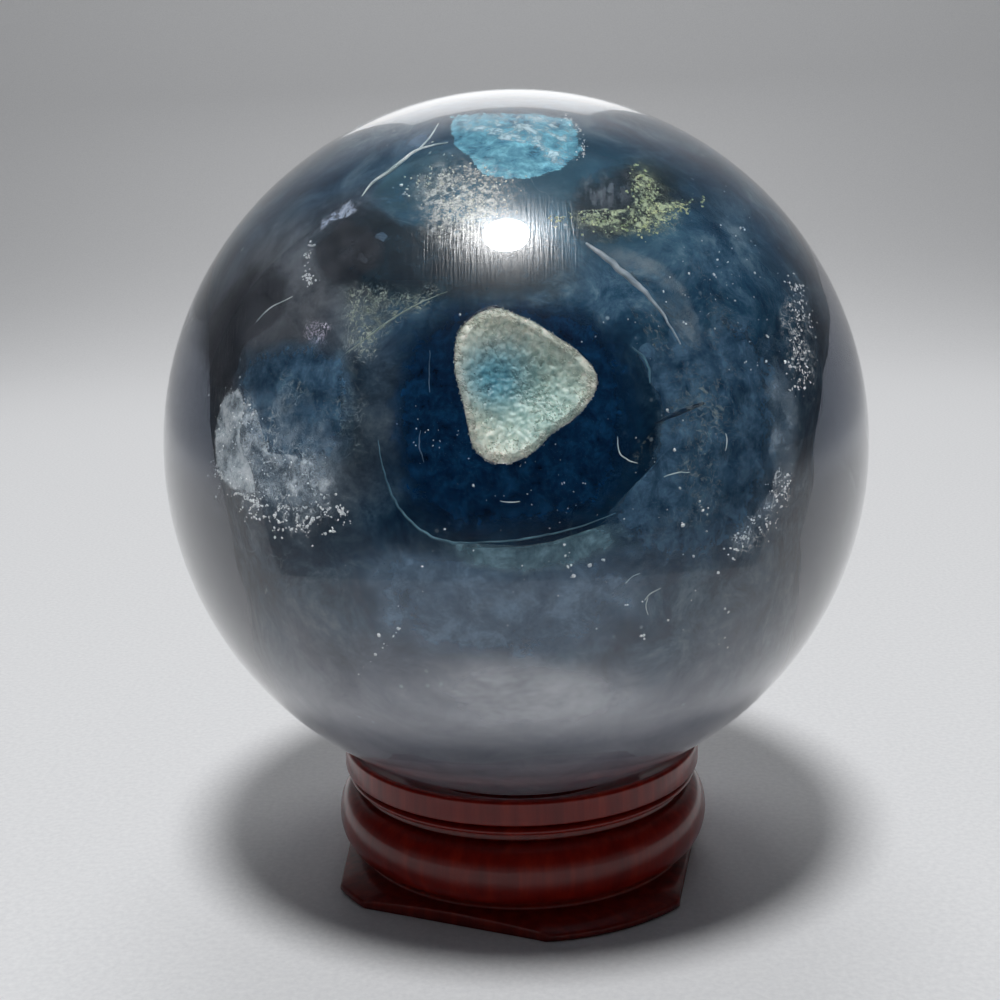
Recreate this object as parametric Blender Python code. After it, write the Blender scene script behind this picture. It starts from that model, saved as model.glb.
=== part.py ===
"""Fluorite crystal ball resting on a small turned, lacquered wooden ring stand.

Metres, +Z up. The origin is the centre of the stand's foot, on the surface that it stands on,
and -Y is the front, where the druzy pocket in the crystal shows.
"""

from math import cos, pi, radians, sin, sqrt, tau

import bmesh
import bpy
import numpy as np
from mathutils import Vector

# Crystal ball
SPHERE_DIAMETER = 0.0620
SPHERE_SEGMENTS = 56
SPHERE_ROWS = 23

# Druzy pocket, a shallow natural hollow that the polished surface has cut open
POCKET_AZIMUTH = 0.8
POCKET_ELEVATION = 18.1
POCKET_DEPTH = 0.0026
POCKET_SIZE = 0.0050
# The pocket's edge, seen from outside: degrees from the right towards the top, and reach in pocket sizes
POCKET_EDGE = (
    (4, 1.10),
    (27, 0.97),
    (56, 0.87),
    (89, 1.01),
    (107, 1.19),
    (134, 1.18),
    (158, 0.99),
    (190, 0.84),
    (215, 0.92),
    (235, 1.12),
    (255, 1.14),
    (285, 0.92),
    (304, 0.81),
    (334, 0.93),
)
POCKET_ROWS = (0.22, 0.42, 0.60, 0.75, 0.87, 0.95, 1.0)
# The hollow's wall steepens towards its edge with this power of the distance from its middle
POCKET_WALL_POWER = 3
POCKET_BLEND_ROWS = 2

# Where the ball and the stand meet
SEAT_GAP = 0.0003
RIM_GAP = 0.0005

# Ring stand, from the foot upwards
STAND_SEGMENTS = 56
FOOT_CORNER_SPREAD = 0.0022
FOOT_FRONT_FLAT_DEPTH = 0.00225
FOOT_RIGHT_FLAT_DEPTH = 0.00285
FOOT_BACK_FLAT_DEPTH = 0.00225
FOOT_LEFT_FLAT_DEPTH = 0.0022
# The flats planed on the foot by hand: the way each faces, in degrees from +X towards +Y, and its depth
FOOT_FLATS = (
    (-112, FOOT_FRONT_FLAT_DEPTH),
    (-12, FOOT_RIGHT_FLAT_DEPTH),
    (79, FOOT_BACK_FLAT_DEPTH),
    (180, FOOT_LEFT_FLAT_DEPTH),
)
FOOT_CORNER_SHARPNESS = 60
FOOT_EDGE_HEIGHT = 0.0008
FOOT_EDGE_EASING = 0.0002
FOOT_SLOPE_RISE = 0.0006
FOOT_GROOVE_HEIGHT = 0.0006
FOOT_GROOVE_DEPTH = 0.0011
BEAD_HEIGHT = 0.0057
BEAD_BULGE = 0.0007
UPPER_GROOVE_HEIGHT = 0.0007
UPPER_GROOVE_DEPTH = 0.0012
FILLET_HEIGHT = 0.0008
FILLET_INSET = 0.0003
THIN_GROOVE_HEIGHT = 0.0003
THIN_GROOVE_DEPTH = 0.0009
COLLAR_DIAMETER = 0.0329
COLLAR_HEIGHT = 0.0023
COLLAR_EDGE_RADIUS = 0.0004
COLLAR_ARRIS = 0.00015
RING_WALL = 0.0062
SEAT_INNER_EASING = 0.0004
SEAT_STEPS = 4
# The bead and the fillet start this many degrees below their middle, where they leave the groove
UNDERCUT_START = -75
BEAD_STEPS = 9
FILLET_STEPS = 4
EDGE_STEPS = 3

SMOOTH_LIMIT = radians(35)

sphere_radius = SPHERE_DIAMETER / 2
collar_radius = COLLAR_DIAMETER / 2
bore_radius = collar_radius - RING_WALL
bead_radius = collar_radius + BEAD_BULGE
foot_radius = collar_radius + FOOT_CORNER_SPREAD
foot_groove_radius = collar_radius - FOOT_GROOVE_DEPTH

foot_slope_bottom = FOOT_EDGE_HEIGHT
foot_slope_top = foot_slope_bottom + FOOT_SLOPE_RISE
bead_bottom = foot_slope_top + FOOT_GROOVE_HEIGHT
bead_top = bead_bottom + BEAD_HEIGHT
fillet_bottom = bead_top + UPPER_GROOVE_HEIGHT
fillet_top = fillet_bottom + FILLET_HEIGHT
collar_bottom = fillet_top + THIN_GROOVE_HEIGHT
collar_top = collar_bottom + COLLAR_HEIGHT

rim_radius = collar_radius - COLLAR_EDGE_RADIUS
seat_radius = bore_radius + SEAT_INNER_EASING
sphere_height = collar_top + sqrt((sphere_radius + RIM_GAP) ** 2 - rim_radius**2)


def clear_scene():
    for thing in list(bpy.data.objects):
        bpy.data.objects.remove(thing, do_unlink=True)


def make_material(name, colour, roughness, coat):
    material = bpy.data.materials.new(name)
    material.use_nodes = True
    shader = material.node_tree.nodes["Principled BSDF"]
    shader.inputs["Base Color"].default_value = (*colour, 1.0)
    shader.inputs["Roughness"].default_value = roughness
    shader.inputs["Metallic"].default_value = 0.0
    shader.inputs["Coat Weight"].default_value = coat
    return material


def loft(rings, closed=False, caps=()):
    """A mesh of quads between rings of equal length, with a fan to a point at each cap."""
    form = bmesh.new()
    rows = [[form.verts.new(point) for point in ring] for ring in rings]
    pairs = list(zip(rows, rows[1:]))
    if closed:
        pairs.append((rows[-1], rows[0]))
    for low, high in pairs:
        for side in range(len(low)):
            after = (side + 1) % len(low)
            form.faces.new((low[side], low[after], high[after], high[side]))
    for row, tip in caps:
        top = form.verts.new(tip)
        for side in range(len(rows[row])):
            after = (side + 1) % len(rows[row])
            form.faces.new((rows[row][side], rows[row][after], top))
    bmesh.ops.recalc_face_normals(form, faces=form.faces)
    return form


def add_piece(name, form, material):
    mesh = bpy.data.meshes.new(name)
    form.to_mesh(mesh)
    form.free()
    mesh.materials.append(material)
    mesh.shade_smooth()
    mesh.set_sharp_from_angle(angle=SMOOTH_LIMIT)
    piece = bpy.data.objects.new(name, mesh)
    bpy.context.scene.collection.objects.link(piece)
    return piece


def pocket_reach(angle):
    """How far the pocket's edge lies from its middle at an angle, on a smooth closed curve."""
    degrees = np.degrees(angle) % 360
    marks = [((mark - degrees + 180) % 360 - 180, reach) for mark, reach in POCKET_EDGE]
    marks.sort()
    after = next(i for i, (offset, _) in enumerate(marks) if offset > 0)
    (x0, y0), (x1, y1), (x2, y2), (x3, y3) = marks[after - 2 : after + 2]
    start_slope = (y2 - y0) / (x2 - x0)
    end_slope = (y3 - y1) / (x3 - x1)
    span = x2 - x1
    t = -x1 / span
    ease = t * t * (3 - 2 * t)
    lead = t * (1 - t) ** 2 * span * start_slope
    trail = t * t * (1 - t) * span * end_slope
    return POCKET_SIZE * (y1 + (y2 - y1) * ease + lead - trail)


def sphere_point(turn, polar, radius):
    """A point on the ball, by its turn round the pocket's axis and its angle from that axis."""
    azimuth = radians(POCKET_AZIMUTH)
    elevation = radians(POCKET_ELEVATION)
    facing = (sin(azimuth) * cos(elevation), -cos(azimuth) * cos(elevation), sin(elevation))
    axis = Vector(facing)
    right = Vector((cos(azimuth), sin(azimuth), 0))
    up = axis.cross(right)
    around = right * cos(turn) + up * sin(turn)
    centre = Vector((0, 0, sphere_height))
    return centre + radius * (axis * cos(polar) + around * sin(polar))


def make_crystal_sphere():
    """A ball whose rows run out from the pocket, so that they can follow its edge."""
    turns = [tau * side / SPHERE_SEGMENTS for side in range(SPHERE_SEGMENTS)]
    edge = [pocket_reach(turn) / sphere_radius for turn in turns]
    rings = []
    for share in POCKET_ROWS:
        depth = POCKET_DEPTH * (1 - share**POCKET_WALL_POWER)
        ring = [
            sphere_point(turn, share * reach, sphere_radius - depth)
            for turn, reach in zip(turns, edge)
        ]
        rings.append(ring)
    first_polar = POCKET_SIZE / sphere_radius
    for row in range(1, SPHERE_ROWS):
        polar = first_polar + (pi - first_polar) * row / SPHERE_ROWS
        blend = min(1, row / POCKET_BLEND_ROWS)
        ring = [
            sphere_point(turn, reach + (polar - reach) * blend, sphere_radius)
            for turn, reach in zip(turns, edge)
        ]
        rings.append(ring)
    pocket_floor = sphere_point(0, 0, sphere_radius - POCKET_DEPTH)
    back = sphere_point(0, pi, sphere_radius)
    form = loft(rings, caps=((0, pocket_floor), (len(rings) - 1, back)))
    material = make_material("crystal", (0.07, 0.12, 0.19), 0.04, 0.0)
    return add_piece("crystal_sphere", form, material)


def arc(centre, radii, start, end, steps):
    """Points on an elliptic arc of the turned profile, in degrees from outwards towards the top."""
    angles = np.radians(np.linspace(start, end, steps + 1))
    return [
        (centre[0] + radii[0] * cos(angle), centre[1] + radii[1] * sin(angle))
        for angle in angles
    ]


def seat_height(radius):
    """Height of the dished top, which the ball touches at its inner edge and leaves at the rim."""
    share = (radius - seat_radius) / (rim_radius - seat_radius)
    gap = SEAT_GAP + (RIM_GAP - SEAT_GAP) * share
    return sphere_height - sqrt((sphere_radius + gap) ** 2 - radius**2)


def turned_profile():
    """Radius and height round the wall's section, from the foot's groove up and down the bore."""
    groove_middle = (foot_slope_top + bead_bottom) / 2
    bead_middle = (bead_bottom + bead_top) / 2
    bead_root = collar_radius - UPPER_GROOVE_DEPTH
    fillet_middle = (fillet_bottom + fillet_top) / 2
    fillet_radius = collar_radius - FILLET_INSET
    thin_groove_radius = collar_radius - THIN_GROOVE_DEPTH
    points = [(foot_groove_radius, foot_slope_top), (foot_groove_radius, groove_middle)]
    bead_reach = (bead_radius - bead_root, BEAD_HEIGHT / 2)
    points += arc((bead_root, bead_middle), bead_reach, UNDERCUT_START, 90, BEAD_STEPS)
    points.append((bead_root, fillet_bottom))
    fillet_reach = (fillet_radius - thin_groove_radius, FILLET_HEIGHT / 2)
    points += arc((thin_groove_radius, fillet_middle), fillet_reach, UNDERCUT_START, 90, FILLET_STEPS)
    points.append((thin_groove_radius, collar_bottom))
    points.append((collar_radius - COLLAR_ARRIS, collar_bottom))
    points.append((collar_radius, collar_bottom + COLLAR_ARRIS))
    edge_middle = (rim_radius, collar_top - COLLAR_EDGE_RADIUS)
    points += arc(edge_middle, (COLLAR_EDGE_RADIUS, COLLAR_EDGE_RADIUS), 0, 90, EDGE_STEPS)
    for step in range(1, SEAT_STEPS + 1):
        radius = rim_radius + (seat_radius - rim_radius) * step / SEAT_STEPS
        points.append((radius, seat_height(radius)))
    points.append((bore_radius, seat_height(seat_radius) - SEAT_INNER_EASING))
    points.append((bore_radius, SEAT_INNER_EASING))
    points.append((seat_radius, 0))
    return points


def foot_reach(angle):
    """The foot's plan: a disc with four uneven flats, its corners slightly eased."""
    power = FOOT_CORNER_SHARPNESS
    total = foot_radius**-power
    for facing, depth in FOOT_FLATS:
        towards = cos(angle - radians(facing))
        if towards > 0:
            total += ((foot_radius - depth) / towards) ** -power
    return total ** (-1 / power)


def make_ring_stand():
    """One turned ring: foot, groove, large bead, groove, thin fillet, collar, dished seat, bore."""
    turns = [tau * side / STAND_SEGMENTS for side in range(STAND_SEGMENTS)]
    foot_rows = (
        (FOOT_EDGE_EASING, 0),
        (0, FOOT_EDGE_EASING),
        (0, foot_slope_bottom - FOOT_EDGE_EASING),
        (FOOT_EDGE_EASING, foot_slope_bottom),
    )
    rings = []
    for inset, height in foot_rows:
        reaches = [foot_reach(turn) - inset for turn in turns]
        ring = [(r * cos(turn), r * sin(turn), height) for r, turn in zip(reaches, turns)]
        rings.append(ring)
    for radius, height in turned_profile():
        rings.append([(radius * cos(turn), radius * sin(turn), height) for turn in turns])
    material = make_material("lacquered_wood", (0.16, 0.018, 0.012), 0.22, 0.8)
    return add_piece("ring_stand", loft(rings, closed=True), material)


clear_scene()
make_crystal_sphere()
make_ring_stand()
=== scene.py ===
"""Looks of a fluorite crystal ball with a druzy pocket, on its turned and lacquered ring stand."""

from math import cos, pi, radians, sin, sqrt, tau

import bpy
import numpy as np
from mathutils import Matrix, Vector, noise


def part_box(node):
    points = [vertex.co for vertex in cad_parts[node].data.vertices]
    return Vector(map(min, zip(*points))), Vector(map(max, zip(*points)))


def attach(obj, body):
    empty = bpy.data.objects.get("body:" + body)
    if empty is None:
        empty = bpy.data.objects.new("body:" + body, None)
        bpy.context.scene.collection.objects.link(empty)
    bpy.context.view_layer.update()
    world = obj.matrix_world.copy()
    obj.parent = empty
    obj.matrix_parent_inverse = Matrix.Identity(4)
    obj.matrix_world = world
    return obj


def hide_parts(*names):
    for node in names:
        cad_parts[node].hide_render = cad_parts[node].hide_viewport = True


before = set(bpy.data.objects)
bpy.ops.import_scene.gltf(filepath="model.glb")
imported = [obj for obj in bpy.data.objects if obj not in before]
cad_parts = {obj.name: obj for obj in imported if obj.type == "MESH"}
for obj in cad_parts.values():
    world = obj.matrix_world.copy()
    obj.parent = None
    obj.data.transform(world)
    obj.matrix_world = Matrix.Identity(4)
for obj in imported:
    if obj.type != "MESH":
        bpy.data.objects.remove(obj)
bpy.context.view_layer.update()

# Metres throughout, as in the frame
MM = 0.001

# The ball is as large as its CAD node on the side where that is flattest
ball_low, ball_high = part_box("crystal_sphere")
BALL_CENTRE = (ball_low + ball_high) / 2
BALL_RADIUS = min(ball_high - ball_low) / 2
CRYSTAL_IOR = 1.434

# Camera, in ball radii and degrees, and the square photograph's width in pixels
PHOTO_WIDTH = 1000
LENS_PIXELS = 1500
CAMERA_DISTANCE = 4.3675
CAMERA_ELEVATION = 10.31
CAMERA_ROLL = 1.18
CAMERA_YAW = -0.63
CAMERA_PITCH = 2.09

# The ball's middle and radius in the photograph, and the size of one of its pixels at the ball
BALL_PIXEL = (517, 438, 346)
PIXEL = BALL_RADIUS / BALL_PIXEL[2]

# How far the blue heart and the smoky layer round it reach, in ball radii
HEART_REACH = 0.600
SMOKE_REACH = 0.705

# Ring stand, as in the frame
SPHERE_RADIUS = 31.0 * MM
SEAT_GAP = 0.3 * MM
RIM_GAP = 0.5 * MM
FOOT_RADIUS = 18.65 * MM
# The way each of the foot's flats faces, in degrees, and its depth
FOOT_FLATS = ((-112, 2.25 * MM), (-12, 2.85 * MM), (79, 2.25 * MM), (180, 2.2 * MM))
FOOT_EDGE_HEIGHT = 0.8 * MM
FOOT_EDGE_EASING = 0.2 * MM
FOOT_TOP = 1.4 * MM
BEAD_BOTTOM = 2.0 * MM
BEAD_HEIGHT = 5.7 * MM
BEAD_TOP = BEAD_BOTTOM + BEAD_HEIGHT
UPPER_GROOVE_DEPTH = 1.2 * MM
FILLET_BOTTOM = 8.4 * MM
FILLET_HEIGHT = 0.8 * MM
FILLET_TOP = FILLET_BOTTOM + FILLET_HEIGHT
FILLET_INSET = 0.3 * MM
THIN_GROOVE_DEPTH = 0.9 * MM
COLLAR_BOTTOM = 9.5 * MM
COLLAR_TOP = 11.8 * MM
COLLAR_RADIUS = 16.45 * MM
COLLAR_ARRIS = 0.15 * MM
COLLAR_EDGE_RADIUS = 0.4 * MM
BEAD_RADIUS = COLLAR_RADIUS + 0.7 * MM
FOOT_GROOVE_RADIUS = COLLAR_RADIUS - 1.1 * MM
BORE_RADIUS = COLLAR_RADIUS - 6.2 * MM
SEAT_INNER_EASING = 0.4 * MM
SEAT_RADIUS = BORE_RADIUS + SEAT_INNER_EASING
RIM_RADIUS = COLLAR_RADIUS - COLLAR_EDGE_RADIUS
STAND_STEPS = 144

# Druzy pocket; the pixels are the middles of its green bowl and of its sea-blue spot
BOWL_PIXEL = (530, 395)
SEA_PIXEL = (498, 372)
POCKET_AZIMUTH = 0.8
POCKET_ELEVATION = 18.1
POCKET_SIZE = 5.0 * MM
POCKET_DEPTH = 2.6 * MM
# The crust's own bowl is shallower than the hollow that it lines
CRUST_DEPTH = 1.55 * MM
RIM_START = 0.88
RIM_DEPTH = 0.06 * MM
RIM_FALL = 0.08 * MM
POCKET_EDGE = (
    (4, 1.10), (27, 0.97), (56, 0.87), (89, 1.01), (107, 1.19), (134, 1.18), (158, 0.99),
    (190, 0.84), (215, 0.92), (235, 1.12), (255, 1.14), (285, 0.92), (304, 0.81), (334, 0.93),
)


# An even stretch, along all axes alike
EVEN = (1, 1, 1)

# Looks of the films: dark and light colour, cover, softness of the edge, scale of the cloud, between which
# cloud values it opens, raggedness of the edge, and where it isn't even, the stretch and scale of its lace
FILM_LOOKS = {
    "teal_window": ((0.01, 0.13, 0.23), (0.32, 0.76, 0.88), 0.95, 0.06, 800, (0.20, 0.44), 0.30),
    "pale_teal": ((0.20, 0.42, 0.48), (0.85, 0.98, 1.0), 0.8, 0.5, 900, (0.44, 0.60), 0.7),
    "slate_facet": ((0.008, 0.05, 0.085), (0.06, 0.17, 0.22), 0.6, 0.3, 420, (0.25, 0.5), 0.3),
    "navy_pool": ((0.0002, 0.003, 0.013), (0.006, 0.042, 0.105), 0.97, 0.24, 900, (0.0, 0.1), 0.3),
    "blue_field": ((0.006, 0.028, 0.066), (0.10, 0.20, 0.29), 0.92, 0.4, 640, (0.0, 0.2), 0.4),
    "slate_field": ((0.005, 0.024, 0.048), (0.075, 0.14, 0.19), 0.9, 0.35, 520, (0.0, 0.2), 0.4),
    "night_field": ((0.0006, 0.006, 0.014), (0.014, 0.040, 0.060), 0.92, 0.45, 700, (0.0, 0.2), 0.5),
    "low_blue_field": ((0.016, 0.050, 0.095), (0.17, 0.27, 0.37), 0.85, 0.5, 420, (0.0, 0.2), 0.5),
    "pool_brim": ((0.020, 0.060, 0.085), (0.20, 0.34, 0.40), 0.8, 0.4, 700, (0.0, 0.3), 0.5),
    "blue_haze": ((0.06, 0.12, 0.20), (0.22, 0.32, 0.42), 0.75, 0.7, 130, (0.3, 0.62), 0.5),
    "brown_grey_ghost": ((0.010, 0.013, 0.019), (0.062, 0.068, 0.080), 0.72, 0.3, 420, (0.0, 0.3), 0.5),
    "blue_white_fleck": ((0.12, 0.17, 0.26), (0.58, 0.66, 0.78), 0.85, 0.5, 900, (0.40, 0.60), 0.6),
    "white_cloud": ((0.13, 0.21, 0.28), (0.82, 0.88, 0.90), 0.8, 0.45, 620, (0.36, 0.66), 0.6),
    "cloud_edge": ((0.24, 0.33, 0.38), (0.88, 0.92, 0.93), 0.8, 0.14, 700, (0.24, 0.56), 0.25),
    "soft_veil": ((0.08, 0.15, 0.22), (0.40, 0.49, 0.56), 0.5, 0.6, 420, (0.28, 0.60), 0.6),
    # Cream specks made paler for the glow of the key's highlight on the polish: partly their own colour,
    # partly a painted highlight
    "speckle_cream_painted_glow": ((0.30, 0.34, 0.32), (0.98, 0.98, 0.92), 0.9, 0.9, 1900, (0.40, 0.58), 0.7),
    "green_feather": ((0.03, 0.05, 0.05), (0.26, 0.31, 0.26), 0.6, 0.7, 1100, (0.38, 0.60), 0.8),
    "moss_feather": ((0.06, 0.11, 0.08), (0.62, 0.72, 0.48), 0.85, 0.6, 1500, (0.42, 0.60), 0.8),
    "grey_strokes": (
        (0.05, 0.08, 0.11), (0.34, 0.40, 0.45), 0.45, 0.8, 1500, (0.42, 0.62), 0.6, (1, 0.3, 0.3),
    ),
    "conchoidal_film": ((0.10, 0.15, 0.18), (0.40, 0.46, 0.48), 0.45, 0.3, 200, (0.3, 0.6), 0.3),
    "foot_milk": ((0.32, 0.33, 0.36), (0.85, 0.87, 0.88), 0.75, 0.9, 60, (0.25, 0.6), 0.3),
    "white_lace": ((0.45, 0.54, 0.58), (0.95, 0.98, 0.97), 0.8, 0.7, 420, (0.36, 0.60), 1.0, EVEN, 1900),
    # Cream lace made paler for the glow of the key's highlight on the polish: partly its own colour, partly a
    # painted highlight
    "lace_cream_painted_glow": ((0.42, 0.46, 0.42), (0.98, 0.98, 0.90), 0.75, 0.9, 420, (0.34, 0.58), 1.0, EVEN, 3400),
    "moss_lace": ((0.18, 0.27, 0.15), (0.78, 0.86, 0.58), 0.85, 0.7, 420, (0.36, 0.58), 1.0, EVEN, 2300),
    "grey_green_lace": (
        (0.08, 0.12, 0.12), (0.36, 0.44, 0.41), 0.5, 0.8, 260, (0.38, 0.62), 1.0, EVEN, 1700,
    ),
    "feather_lace": ((0.14, 0.19, 0.16), (0.56, 0.62, 0.52), 0.85, 0.6, 420, (0.32, 0.56), 1.0, EVEN, 2300),
    "lilac_lace": ((0.20, 0.19, 0.25), (0.74, 0.71, 0.82), 0.9, 0.6, 600, (0.2, 0.5), 0.5, EVEN, 2600),
}

# Looks of the crumbs and threads: dark and light colour
GRAIN_LOOKS = {
    "white_crumbs": ((0.55, 0.60, 0.62), (0.95, 0.97, 0.96)),
    # Cream crumbs made paler for the glow of the key's highlight on the polish: partly their own colour,
    # partly a painted highlight
    "crumbs_cream_painted_glow": ((0.50, 0.52, 0.44), (0.95, 0.95, 0.85)),
    "green_needles": ((0.25, 0.34, 0.16), (0.75, 0.80, 0.48)),
    "pale_cracks": ((0.36, 0.47, 0.47), (0.85, 0.92, 0.88)),
    "teal_cracks": ((0.02, 0.07, 0.11), (0.10, 0.22, 0.28)),
    "arc_grey": ((0.22, 0.28, 0.32), (0.52, 0.58, 0.62)),
    "faint_hairs": ((0.02, 0.06, 0.11), (0.10, 0.17, 0.23)),
    "navy_slash": ((0.001, 0.01, 0.03), (0.002, 0.02, 0.05)),
    "feather_green": ((0.10, 0.14, 0.12), (0.30, 0.36, 0.31)),
}

# Films: look, reach in ball radii, cells to a side, and the outline in pixels of the photograph
FILMS = {
    "teal_window": ("teal_window", 0.80, 36, (
        (450, 116), (451, 115), (490, 112), (530, 112), (570, 118), (572, 119), (586, 148), (585, 150),
        (572, 164), (545, 176), (512, 180), (486, 176), (471, 162), (470, 160), (452, 145), (450, 143),
    )),
    "teal_window_frost": ("pale_teal", 0.805, 32, (
        (455, 118), (500, 113), (560, 116), (582, 140), (578, 160), (552, 168), (540, 150), (500, 140),
        (462, 134),
    )),
    "left_facet": ("slate_facet", 0.78, 28, (
        (362, 198), (385, 172), (412, 152), (448, 144), (470, 165), (455, 195), (425, 212), (390, 216),
    )),
    "navy_pool": ("navy_pool", 0.72, 48, (
        (398, 318), (382, 375), (378, 440), (386, 488), (403, 514), (430, 535), (475, 543), (530, 538),
        (580, 528), (616, 513), (640, 470), (648, 400), (636, 335), (596, 296), (530, 284), (450, 288),
    )),
    "right_blue_field": ("blue_field", 0.69, 44, (
        (610, 300), (660, 262), (730, 262), (790, 310), (802, 400), (792, 500), (736, 580), (660, 600),
        (590, 560), (600, 520), (636, 490), (652, 400),
    )),
    "left_blue_field": ("blue_field", 0.74, 36, (
        (238, 345), (300, 330), (350, 345), (362, 400), (350, 462), (300, 480), (246, 452), (226, 398),
    )),
    "upper_slate_field": ("slate_field", 0.685, 40, (
        (560, 240), (620, 180), (700, 190), (762, 232), (800, 310), (760, 345), (700, 320), (630, 310),
    )),
    "night_field": ("night_field", 0.725, 44, (
        (300, 205), (350, 190), (400, 215), (470, 215), (550, 225), (600, 255), (590, 300), (500, 310),
        (430, 312), (375, 310), (320, 300), (285, 255),
    )),
    "right_night_field": ("night_field", 0.74, 32, (
        (560, 190), (640, 150), (700, 170), (660, 230), (600, 250), (560, 235),
    )),
    "low_blue_field": ("low_blue_field", 0.74, 44, (
        (340, 545), (430, 540), (520, 550), (610, 540), (680, 560), (665, 630), (570, 672), (460, 674),
        (365, 648), (325, 595),
    )),
    "pool_brim": ("pool_brim", 0.76, 36, (
        (432, 541), (475, 548), (530, 544), (590, 532), (622, 518), (640, 540), (590, 566), (510, 578),
        (450, 566),
    )),
    "upper_left_haze": ("blue_haze", 0.82, 16, (
        (372, 168), (400, 140), (445, 120), (446, 140), (412, 152),
    )),
    "ghost_disc": ("brown_grey_ghost", 0.76, 28, (
        (312, 252), (322, 232), (345, 216), (372, 222), (386, 250), (374, 276), (345, 290), (320, 276),
    )),
    "left_ghost": ("brown_grey_ghost", 0.84, 28, (
        (196, 345), (215, 300), (250, 262), (292, 262), (290, 310), (245, 350), (232, 395), (208, 400),
    )),
    "blue_white_fleck": ("blue_white_fleck", 0.82, 28, (
        (316, 234), (322, 212), (345, 199), (364, 202), (352, 216), (334, 222),
    )),
    "left_cloud": ("white_cloud", 0.90, 44, (
        (250, 385), (228, 405), (218, 440), (218, 482), (250, 500), (300, 508), (340, 505), (335, 470),
        (300, 455), (265, 450), (252, 420),
    )),
    "left_cloud_edge": ("cloud_edge", 0.91, 36, (
        (238, 384), (222, 396), (214, 432), (217, 474), (236, 494), (256, 496), (252, 470), (240, 440),
        (244, 404),
    )),
    "left_soft_veil": ("soft_veil", 0.84, 36, (
        (225, 400), (290, 380), (350, 440), (350, 510), (290, 540), (225, 500),
    )),
    "right_soft_band": ("soft_veil", 0.88, 28, (
        (778, 345), (796, 380), (801, 430), (798, 480), (780, 505), (766, 470), (770, 420), (762, 380),
    )),
    "right_low_band": ("soft_veil", 0.88, 28, (
        (790, 490), (770, 530), (735, 556), (728, 545), (750, 515), (770, 490),
    )),
    # Where the key's highlight glows on the polish: the glow is painted into this pale cream film as a
    # painted highlight
    "speckle_cream_painted_glow": ("speckle_cream_painted_glow", 0.90, 28, (
        (404, 186), (436, 154), (496, 156), (530, 185), (520, 240), (450, 256), (412, 232),
    )),
    "left_feather": ("green_feather", 0.82, 36, (
        (345, 288), (380, 290), (440, 288), (425, 305), (390, 325), (372, 350), (346, 352), (340, 320),
    )),
    "moss_feather": ("moss_feather", 0.84, 44, (
        (634, 165), (660, 170), (676, 200), (704, 198), (680, 218), (655, 236), (610, 236), (560, 228),
        (575, 214), (630, 212),
    )),
    "grey_strokes": ("grey_strokes", 0.86, 28, (
        (575, 170), (630, 165), (640, 205), (600, 215), (570, 200),
    )),
    "conchoidal_film": ("conchoidal_film", 0.86, 28, (
        (590, 246), (632, 280), (665, 316), (690, 352), (705, 345), (695, 300), (665, 262), (625, 244),
    )),
    "foot_milk": ("foot_milk", 0.86, 36, (
        (330, 690), (430, 655), (520, 645), (620, 660), (710, 680), (650, 730), (520, 752), (400, 738),
    )),
    "left_lace_film": ("white_lace", 0.915, 40, (
        (214, 462), (240, 470), (290, 478), (336, 468), (352, 505), (340, 528), (300, 545), (255, 528),
        (226, 500),
    )),
    "left_upper_lace_film": ("white_lace", 0.90, 36, (
        (226, 396), (262, 388), (300, 440), (340, 460), (338, 500), (280, 500), (232, 480), (222, 430),
    )),
    "right_lace_film": ("white_lace", 0.905, 36, (
        (786, 272), (808, 290), (816, 340), (820, 385), (800, 396), (784, 372), (778, 330), (780, 300),
    )),
    "right_low_lace_film": ("white_lace", 0.90, 36, (
        (800, 440), (796, 500), (770, 545), (726, 566), (722, 545), (750, 515), (775, 480), (786, 440),
    )),
    # Where the key's highlight glows on the polish: the glow is painted into this pale cream lace as a
    # painted highlight
    "lace_cream_painted_glow_film": ("lace_cream_painted_glow", 0.905, 40, (
        (402, 188), (432, 152), (500, 150), (536, 185), (520, 250), (455, 262), (412, 236),
    )),
    "moss_lace_film": ("moss_lace", 0.85, 44, (
        (628, 158), (664, 160), (684, 196), (712, 198), (690, 226), (650, 248), (590, 244), (545, 226),
        (580, 208), (626, 206),
    )),
    "left_feather_lace": ("feather_lace", 0.83, 36, (
        (338, 285), (390, 280), (452, 284), (432, 308), (396, 332), (370, 366), (340, 362),
    )),
    "left_wisps": ("grey_green_lace", 0.80, 36, (
        (300, 340), (360, 350), (374, 420), (360, 500), (300, 480), (250, 400), (262, 350),
    )),
    "right_wisps": ("grey_green_lace", 0.80, 44, (
        (600, 250), (700, 230), (780, 300), (790, 420), (740, 540), (640, 560), (600, 500), (660, 420),
        (640, 320),
    )),
    "lilac_knot": ("lilac_lace", 0.84, 24, (
        (300, 330), (306, 318), (320, 314), (333, 322), (336, 338), (326, 349), (310, 348), (301, 340),
    )),
}

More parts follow.
